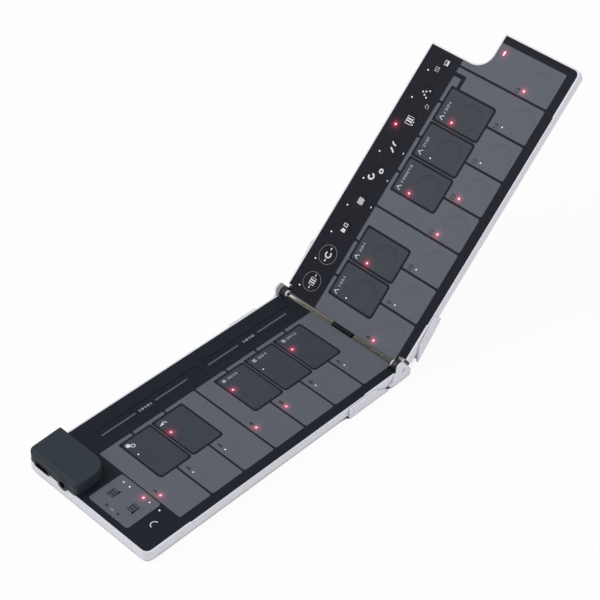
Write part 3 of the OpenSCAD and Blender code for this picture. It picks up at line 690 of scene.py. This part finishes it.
def long_outline(k, half):
    """Corners (d, y, radius) of long pad k, counted from the hinge."""
    left = PAD_START if k == 0 else FIRST + k * PITCH + GROOVE / 2
    right = PAD_END if k == 7 else FIRST + (k + 1) * PITCH - GROOVE / 2
    reach = SHORT_HALF + GROOVE
    near, far = SHORT_FRONT - GROOVE, SHORT_REAR + GROOVE
    walk = [(left, 0, 1.0), (right, 0, 1.0)]
    if k + 1 in SHORT_KEYS[half]:
        inner = FIRST + (k + 1) * PITCH - reach
        walk += [(right, near, 0.3), (inner, near, 2.0)]
        walk += [(inner, far, 0.9), (right, far, 0.3)]
    if half == "lid" and k == 7:
        walk += [(right, CORNER[1], 0.6), (*CORNER, 9.3), (CORNER[0], KEY_DEPTH, 0.5)]
    elif half == "lid" and k == 6:
        walk += [(right, KEY_DEPTH, 0.5), (STEP[0], KEY_DEPTH, 0.5), (*STEP, 0.6)]
    else:
        walk += [(right, KEY_DEPTH, 0.8)]
    if k in SHORT_KEYS[half]:
        inner = FIRST + k * PITCH + reach
        if half == "lid" and k == 6:
            walk += [(inner, STEP[1], 0.2)]
        else:
            walk += [(left, KEY_DEPTH, 0.8), (left, far, 0.3), (inner, far, 0.9)]
        walk += [(inner, near, 2.0), (left, near, 0.3)]
    else:
        walk += [(left, KEY_DEPTH, 0.8)]
    return walk


print("pad 3 has", len(long_outline(3, "base")), "corners before rounding")

# %% Make the long pads
LONG_DISH_Y = 8.6
SMALL_PAD = [
    (121.75, 51.5, 0.3), (131.0, 51.5, 0.9), (131.0, 48.7, 0.2),
    (135.7, 48.7, 0.6), (135.7, KEY_DEPTH, 0.8), (121.75, KEY_DEPTH, 0.8),
]
for half, count in (("base", 7), ("lid", 8)):
    shape = bmesh.new()
    for k in range(count):
        pad(shape, long_outline(k, half), (FIRST + (k + 0.5) * PITCH, LONG_DISH_Y))
    if half == "lid":
        pad(shape, SMALL_PAD)
    made = piece(f"{half}_long_pads", shape, half, grey_pads[half])
    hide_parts(f"{half}_white_keys")

# %% Make the short pads
SHORT_CORNER = 1.3
SHORT_DISH_Y = 33.6
for half in BOARD:
    shape = bmesh.new()
    for k in SHORT_KEYS[half]:
        d = FIRST + k * PITCH
        left, right = d - SHORT_HALF, d + SHORT_HALF
        box = [(left, SHORT_FRONT), (right, SHORT_FRONT), (right, SHORT_REAR),
               (left, SHORT_REAR)]
        corners = [(*corner, SHORT_CORNER) for corner in box]
        pad(shape, corners, (d, SHORT_DISH_Y), dish_radius=6.9, depth=0.45)
    made = piece(f"{half}_short_pads", shape, half, slate_pads[half])
    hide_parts(f"{half}_black_keys")

# %% [markdown]
# ## Lamp lenses
# Each lamp is the end of a clear light pipe, almost flush with the pad and domed. A short
# disc with a bevelled rim gives the dome with few faces, which matters as it is repeated.
# The light bar is a block with all its edges bevelled, and it belongs to the red lamps.

# %% Make the lamp lenses
LENS_BOTTOM = 4.5
LENS_STAND = 0.06  # how far a lens stands above its pad
LENS_ROUND = 0.35  # the rim's rounding as a share of the radius
BAR_SIZE = (2.6, 0.8, 1.9)
BAR_MIDDLE = 5.4
BAR_EDGE = 0.2


def lens(shape, d, y, radius):
    """Adds one domed lens."""
    one = bmesh.new()
    place = Matrix.Translation((d, y, LENS_BOTTOM))
    bmesh.ops.create_circle(one, cap_ends=True, radius=radius, segments=20, matrix=place)
    rim = lift(one, LENS_BOTTOM, PAD_TOP + LENS_STAND)
    soften(one, rim, radius * LENS_ROUND, 3)
    bmesh.ops.recalc_face_normals(one, faces=one.faces[:])
    for face in one.faces:
        face.smooth = True
    join(shape, one)


def light_bar(shape):
    """Adds the light bar."""
    bar = bmesh.new()
    place = Matrix.Translation((*LIGHT_BAR, BAR_MIDDLE)) @ Matrix.Diagonal((*BAR_SIZE, 1))
    bmesh.ops.create_cube(bar, size=1, matrix=place)
    soften(bar, bar.edges[:], BAR_EDGE, 2)
    join(shape, bar)


# the places, the radius and the finish of each tint
LENSES = {
    "white": (WHITE_LAMPS, 0.4, white_lamp),
    "red": (RED_LAMPS, 0.52, red_lamp),
}
for half in BOARD:
    for tint, (places, radius, finish) in LENSES.items():
        shape = bmesh.new()
        for d, y in places[half]:
            lens(shape, d, y, radius)
        if (half, tint) == ("lid", "red"):
            light_bar(shape)
        made = piece(f"{half}_{tint}_lenses", shape, half, finish)
        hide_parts(f"{half}_{tint}_lamps")

# %% [markdown]
# ## Printed marks
# The marks are pad-printed ink: plain numbers beside the lamps, small signs with numbers on
# the short pads and simple pictograms on the buttons. Each mark is a thin closed strip that
# sinks a little into the plastic, so nothing floats and every mark has a real edge. A Print
# collects the marks of one ink on one half and lays them so that they read from the base
# toward the lid. On the round buttons the marks follow the dish.

# %% A press that places and fills
INK_SINK = -0.15  # the underside of a mark, below the surface
INK_STAND = 0.03  # its top, above the surface
WELD = 0.0005  # points closer than this become one
BUTTON_SPHERE = 30.0  # radius of the dish in a round button
BUTTON_DEPTH = 0.42


class Press:
    """Marks of one ink on one half, drawn in board millimetres."""

    def __init__(self, half, level):
        self.half = half
        self.level = level
        self.side = -1 if half == "base" else 1
        self.shape = bmesh.new()
        self.origin = (0, 0)

    def at(self, d, y):
        """Moves the middle of the drawing."""
        self.origin = (d, y)
        return self

    def spot(self, point, z):
        """A vertex at a point of the drawing, z above the surface."""
        d = self.origin[0] + self.side * point[0]
        y = self.origin[1] + point[1]
        if self.half == "lid":
            step = round((d - BUTTON_START) / BUTTON_PITCH)
            far = math.hypot(d - BUTTON_START - BUTTON_PITCH * step, y - BUTTON_Y)
            if far < BUTTON_RADIUS and 0 <= step < BUTTON_COUNT:
                z += BUTTON_SPHERE - BUTTON_DEPTH - math.sqrt(BUTTON_SPHERE**2 - far * far)
        return self.shape.verts.new((d, y, self.level + z))

    def fill(self, points):
        """A filled shape with the given outline."""
        low = [self.spot(p, INK_SINK) for p in points]
        high = [self.spot(p, INK_STAND) for p in points]
        self.shape.faces.new(low[::-1])
        self.shape.faces.new(high)
        for i in range(len(points)):
            j = (i + 1) % len(points)
            self.shape.faces.new((low[i], low[j], high[j], high[i]))
        return self

    def done(self, name, finish, slot):
        """Makes a piece of all the marks."""
        bmesh.ops.remove_doubles(self.shape, verts=self.shape.verts, dist=WELD)
        bmesh.ops.recalc_face_normals(self.shape, faces=self.shape.faces[:])
        piece(name, self.shape, self.half, finish)


print("press ready")

# %% [markdown]
# Every pictogram is made of a few strokes. A line runs through points and keeps its width
# round the bends. Arcs, boxes, bars and dashes are lines too, and a dot is a filled circle.

# %% Strokes
class Strokes(Press):
    """A press that also draws lines."""

    def line(self, points, width, closed=False):
        """A line of even width through the points."""
        count = len(points)
        rings = []
        for i, here in enumerate(points):
            here = Vector(here)
            back = Vector(points[i - 1]) if i or closed else None
            ahead = Vector(points[(i + 1) % count]) if i < count - 1 or closed else None
            arms = []
            if back is not None:
                arms.append((here - back).normalized())
            if ahead is not None:
                arms.append((ahead - here).normalized())
            along = sum(arms, Vector((0, 0))).normalized()
            across = Vector((-along.y, along.x)) * width / 2 / max(along.dot(arms[0]), 0.4)
            rings.append([
                self.spot(here - across, INK_SINK), self.spot(here + across, INK_SINK),
                self.spot(here + across, INK_STAND), self.spot(here - across, INK_STAND),
            ])
        for i in range(count if closed else count - 1):
            one, two = rings[i], rings[(i + 1) % count]
            for k in range(4):
                m = (k + 1) % 4
                self.shape.faces.new((one[k], one[m], two[m], two[k]))
        if not closed:
            self.shape.faces.new(rings[0][::-1])
            self.shape.faces.new(rings[-1])
        return self

    def arc(self, middle, radius, start, end, width):
        """Part of a ring, or all of it when it spans 360 degrees."""
        full = end - start >= 360
        steps = max(6, int((end - start) / 20))
        turns = [math.radians(start + (end - start) * i / steps) for i in range(steps + 1)]
        points = [
            (middle[0] + radius * math.cos(t), middle[1] + radius * math.sin(t))
            for t in turns
        ]
        return self.line(points[:-1] if full else points, width, full)

    def dot(self, x, y, radius):
        """A filled circle."""
        turns = [math.radians(30 * i) for i in range(12)]
        return self.fill(
            [(x + radius * math.cos(t), y + radius * math.sin(t)) for t in turns]
        )

    def box(self, wide, high, width):
        """The outline of a box from its half width and half height."""
        corners = [(-wide, -high), (wide, -high), (wide, high), (-wide, high)]
        return self.line(corners, width, True)

    def bars(self, places, high, width):
        """Upright bars with the given half height."""
        for x in places:
            self.line([(x, -high), (x, high)], width)
        return self

    def dashes(self, places, width):
        """Short level lines."""
        for x in places:
            self.line([(x - 0.6, 0), (x + 0.6, 0)], width)
        return self


print("strokes ready")

# %% [markdown]
# Numbers come from Blender's own font. The text curve is made mesh at once, so that it is
# plain geometry like every other mark.

# %% Numbers
DIGIT_SHARE = 0.7  # a digit's height as a share of the font's size


class Print(Strokes):
    """A press that also sets numbers."""

    def number(self, text, height, bold=0.04, length=None):
        """A plain number, stretched to a length when one is given."""
        curve = bpy.data.curves.new("number", "FONT")
        curve.body = text
        curve.size = height / DIGIT_SHARE
        curve.resolution_u = 2
        curve.extrude = (INK_STAND - INK_SINK) / 2
        curve.offset = bold
        letters = bpy.data.objects.new("number", curve)
        mesh = bpy.data.meshes.new_from_object(letters)
        xs = [v.co.x for v in mesh.vertices]
        ys = [v.co.y for v in mesh.vertices]
        wide = max(xs) - min(xs)
        stretch = length / wide if length else 1.0
        middle = Vector(((max(xs) + min(xs)) / 2, (max(ys) + min(ys)) / 2, 0))
        spot = Vector((*self.origin, self.level + (INK_STAND + INK_SINK) / 2))
        mesh.transform(
            Matrix.Translation(spot)
            @ Matrix.Diagonal((self.side * stretch, 1, 1, 1))
            @ Matrix.Translation(-middle)
        )
        self.shape.from_mesh(mesh)
        bpy.data.objects.remove(letters)
        bpy.data.curves.remove(curve)
        bpy.data.meshes.remove(mesh)
        return self


print("numbers ready")

# %% [markdown]
# The long pads carry their numbers beside the lamps, 1 to 7 on the base from the outer end
# and 8 to 15 on the lid. The side panel has two small pictograms of a row of bars with a
# pointer, one for each direction, and three little marks at its outer edge.

# %% Print the dark marks
NUMBER_D = {"base": 16.7, "lid": 2.7}  # counted from the start of a pitch
NUMBER_Y = 18.9
NUMBER_HEIGHT = 2.3
NUMBER_BOLD = 0.15
NUMBERS = {"base": range(7, 0, -1), "lid": range(8, 16)}


def number_pads(press):
    """The numbers of the long pads of one half, counted from the hinge."""
    for k, value in enumerate(NUMBERS[press.half]):
        press.at(FIRST + k * PITCH + NUMBER_D[press.half], NUMBER_Y)
        press.number(str(value), NUMBER_HEIGHT, NUMBER_BOLD)


def panel_sign(press, side):
    """A box with two broad bars and a pointer below its right (1) or left (-1) corner."""
    press.box(2.0, 1.8, 0.45).bars((-0.75, 0.75), 1.8, 0.9)
    press.fill([(0.7 * side, -1.9), (2.1 * side, -0.7), (3.6 * side, -2.3)])


press = Print("base", PAD_TOP)
number_pads(press)
panel_sign(press.at(151.9, 31.2), 1)
panel_sign(press.at(151.5, 18.1), -1)
press.at(158.7, 27.8).fill([(-0.8, -0.5), (0.5, -0.7), (0.8, 0.6), (-0.3, 0.7)])
press.at(158.8, 20.5).fill([(-1.0, -0.7), (0.9, -0.7), (0.5, 0.8)])
press.done("base_dark_marks", dark_ink, "black_plate")

press = Print("lid", PAD_TOP)
number_pads(press)
press.done("lid_dark_marks", dark_ink, "black_plate")

# %% [markdown]
# Most short pads have a white sign and a number along their rear edge, and the touch strips
# have a number between their two lines. The signs are bright and the numbers softer.

# %% Print the softer numbers of both halves
LABEL_HEIGHT = 1.4


def peak(press):
    """A pointed roof."""
    press.line([(-1.2, -1.0), (-0.1, 1.1), (1.3, -1.0)], 0.36)


def grid_sign(press):
    """Two lines across two lines."""
    for v in (-0.5, 0.5):
        press.line([(-1.0, v), (1.0, v)], 0.35)
        press.line([(v, -1.0), (v, 1.0)], 0.35)


# d of the sign, d where the number starts and ends, y of both, and the number
LABELS = {
    "base": [(67.2, 65.0, 58.5, 47.9, "2010"), (46.8, 44.6, 39.0, 47.9, "201"),
             (26.6, 24.4, 18.0, 47.9, "3012")],
    "lid": [(14.6, 17.2, 22.8, 47.7, "1021"), (34.6, 37.2, 42.2, 47.8, "201"),
            (74.8, 77.4, 87.4, 47.7, "120012"), (95.0, 97.8, 103.3, 47.5, "2120"),
            (114.9, 117.3, 123.3, 47.2, "1201")],
}
signs = {half: Print(half, PAD_TOP) for half in BOARD}
words = {half: Print(half, PAD_TOP) for half in BOARD}
for half, sign in (("base", grid_sign), ("lid", peak)):
    for spot, start, end, y, text in LABELS[half]:
        sign(signs[half].at(spot, y))
        word = words[half].at((start + end) / 2, y)
        word.number(text, LABEL_HEIGHT, length=abs(end - start))
words["base"].at(158.7, 24.1).number("0", 1.8)
words["base"].level = PLATE_TOP
words["base"].at(105.5, 61.3).number("10101", LABEL_HEIGHT, length=7.6)
words["base"].at(37.4, 61.3).number("1010", LABEL_HEIGHT, length=7.4)
for half in BOARD:
    words[half].done(f"{half}_numbers", soft_ink, "grey_pads")

# %% [markdown]
# The two outer short pads of the base have signs without numbers, and the front corner of
# the plate has a small arc.

# %% Print the pale marks of the base
press = signs["base"]
press.at(128.1, 48.0).dot(0, 0, 1.15)
press.at(126.3, 46.6).arc((0, 0), 0.95, 0, 360, 0.4)
press.at(107.4, 47.3).fill([(-1.9, -0.4), (0.2, 0.9), (0.8, -0.5)])
press.line([(0.6, 1.0), (1.8, 0.5), (2.2, -0.6)], 0.45)
press.level = PLATE_TOP
press.at(151.4, 4.6).arc((0, 0), 1.9, 0, 180, 0.45)
press.done("base_pale_marks", pale_ink, "white_case")

# %% [markdown]
# Every round button of the lid has a pictogram of a few strokes: bars, arcs, blocks, a
# hatch or dots. Three single dots stand between the buttons and the pads.

# %% Print the pale marks of the lid
press = signs["lid"]
press.level = PLATE_TOP
press.at(12.1, 62.6).dashes((-3.35, 3.35), 0.6).box(1.8, 1.5, 0.25)
press.bars((-0.6, 0.6), 1.5, 0.6)
press.at(27.6, 62.7).arc((0, 0), 1.55, 50, 330, 0.75).dashes((-3.25, 3.25), 0.7)
press.at(41.9, 62.5).fill([(-0.9, -1.25), (0.95, -1.1), (1.05, 1.0), (-0.8, 1.4)])
press.at(44.9, 62.7).line([(-0.8, -1.0), (0.8, -1.0), (0.6, 1.1), (-0.6, 1.1)], 0.4, True)
press.at(59.0, 62.5)
for v in (-0.9, 0.1, 1.1):
    press.line([(-1.9, v - 0.5), (1.9, v + 0.2)], 0.4)
    press.line([(v, -1.8), (v - 0.3, 1.8)], 0.4)
press.at(72.3, 64.6).arc((0, 0), 1.4, 80, 370, 0.9)
press.at(77.0, 61.1).arc((0, 0), 1.0, 0, 360, 0.75)
press.at(90.2, 62.6).line([(2.5, 1.7), (1.6, 0.5), (1.3, -1.1)], 0.8)
press.line([(-0.5, 1.1), (-1.0, -0.1), (-2.2, -1.8)], 0.8)
press.at(105.9, 62.3).box(2.0, 1.8, 0.25).bars((-0.5, 0.7), 1.8, 0.7)
press.dot(-1.5, -2.7, 0.4).dot(0, -2.7, 0.4)
press.at(0, 0)
for d, y in ((121.6, 64.1), (122.4, 62.5), (123.4, 60.7), (120.5, 62.5), (119.6, 60.8)):
    press.dot(d, y, 0.5)
press.at(139.5, 60.6).box(1.2, 1.1, 0.35)
press.fill([(-1.2, -1.2), (1.2, -1.2), (1.2, -0.1), (-1.2, -0.1)])
for d, y in ((90.0, 55.3), (74.4, 55.1), (58.9, 55.3)):
    press.at(d, y).dot(0, 0, 0.42)
press.done("lid_pale_marks", pale_ink, "white_case")

# %% [markdown]
# Two buttons have a thin ring round them, and two small signs are printed in the softer ink.

# %% Print the grey marks of the lid
RING_RADIUS = 5.1
press = Print("lid", PLATE_TOP)
for k in (0, 1):
    press.at(BUTTON_START + k * BUTTON_PITCH, BUTTON_Y)
    press.arc((0, 0), RING_RADIUS, 0, 360, 0.14)
press.at(115.9, 57.6).arc((0, 0), 0.9, 250, 560, 0.4).line([(-0.4, -0.9), (-1.1, -1.3)], 0.4)
press.at(134.6, 63.7).line([(-1.1, -1.1), (1.1, -0.9), (1.1, 1.1), (-1.1, 0.9)], 0.35, True)
press.line([(-0.9, 0.7), (0.9, -0.7)], 0.35)
press.done("lid_grey_marks", soft_ink, "grey_pads")

# %% [markdown]
# ## Camera, floor and light
# The camera stands where the photograph was taken from: about 48 degrees round to the left
# and 41 degrees up, with a long lens. The floor is plain and pale and keeps a soft shadow.
# Where the floor is closed in, as under the hinge, it gets painted shade: its colour turns
# dark and it gets no extra white.

# %% Set the camera
CAMERA_PLACE = (-0.45125, -0.40266, 0.56924)
CAMERA_RIGHT = (0.693, -0.7203, 0.0317)
CAMERA_FORWARD = (0.5563, 0.5062, -0.659)

camera = bpy.data.objects.new("camera", bpy.data.cameras.new("camera"))
camera.data.lens = 101.76
camera.data.sensor_width = 36
camera.data.clip_end = 20
forward = Vector(CAMERA_FORWARD).normalized()
up = Vector(CAMERA_RIGHT).cross(forward).normalized()
right = forward.cross(up).normalized()
turn = Matrix((right, up, -forward)).transposed().to_4x4()
camera.matrix_world = Matrix.Translation(CAMERA_PLACE) @ turn
bpy.context.scene.collection.objects.link(camera)
bpy.context.scene.camera = camera
print("camera up:", tuple(round(v, 4) for v in up))

# %% Lay the floor
OPEN_FROM = 0.25  # below this much open sky the floor gets painted shade
OPEN_GAIN = 10  # how quickly it turns pale above that
EXTRA_WHITE = 0.93  # the share of plain white that the camera sees on the open floor

floor_shape = bmesh.new()
bmesh.ops.create_grid(floor_shape, x_segments=1, y_segments=1, size=8)
floor_mesh = bpy.data.meshes.new("floor")
floor_shape.to_mesh(floor_mesh)
floor_shape.free()
floor = bpy.data.objects.new("floor", floor_mesh)
bpy.context.scene.collection.objects.link(floor)
paper = Finish("paper", {"Roughness": 0.9, "Specular IOR Level": 0.0})
rays = paper.tree.nodes.new("ShaderNodeLightPath")
lit = paper.tree.nodes.new("ShaderNodeEmission")
blend = paper.tree.nodes.new("ShaderNodeMixShader")
open_sky = paper.node(
    "ShaderNodeAmbientOcclusion", {"samples": 16}, {"Distance": 0.05}, "AO"
)
open_share = ((open_sky - OPEN_FROM) * OPEN_GAIN).clamped()
# painted shade: the floor's colour is darkened where little sky is open
paper.feed("Base Color", paper.mix(open_share, (0.2, 0.19, 0.18, 1), (0.9, 0.9, 0.9, 1)))
share = Wire(paper, rays.outputs["Is Camera Ray"]) * open_share * EXTRA_WHITE
paper.tree.links.new(share.socket, blend.inputs[0])
paper.tree.links.new(paper.shader.outputs[0], blend.inputs[1])
paper.tree.links.new(lit.outputs[0], blend.inputs[2])
paper.tree.links.new(
    blend.outputs[0], paper.tree.nodes["Material Output"].inputs["Surface"]
)
floor_mesh.materials.append(paper.material)
print("floor laid")

# %% [markdown]
# The light comes from a white sky and two large soft lamps. The camera sees the sky brighter
# than the object does, so the background is white and the shadows stay soft.

# %% Light the studio
SKY_LIGHT = 0.5
SKY_SEEN = 1.0

world = bpy.data.worlds.new("studio")
bpy.context.scene.world = world
world.use_nodes = True
sky = world.node_tree.nodes["Background"]
sky.inputs["Color"].default_value = (1, 1, 1, 1)
rays = world.node_tree.nodes.new("ShaderNodeLightPath")
seen = world.node_tree.nodes.new("ShaderNodeMath")
seen.operation = "MULTIPLY_ADD"
seen.inputs[1].default_value = SKY_SEEN - SKY_LIGHT
seen.inputs[2].default_value = SKY_LIGHT
world.node_tree.links.new(rays.outputs["Is Camera Ray"], seen.inputs[0])
world.node_tree.links.new(seen.outputs[0], sky.inputs["Strength"])


def softbox(name, place, size, power):
    """A square lamp that looks at the middle of the keyboard."""
    aim = Vector((0, 0, 0.05)) - Vector(place)
    data = bpy.data.lights.new(name, "AREA")
    data.size = size
    data.energy = power
    box = bpy.data.objects.new(name, data)
    box.location = place
    box.rotation_euler = aim.to_track_quat("-Z", "Y").to_euler()
    bpy.context.scene.collection.objects.link(box)


softbox("window", (-0.9, 0.7, 1.5), 1.2, 14)
softbox("fill", (0.9, -1.2, 1.1), 1.4, 6)
bpy.context.scene.view_settings.view_transform = "Standard"
print("studio lit")
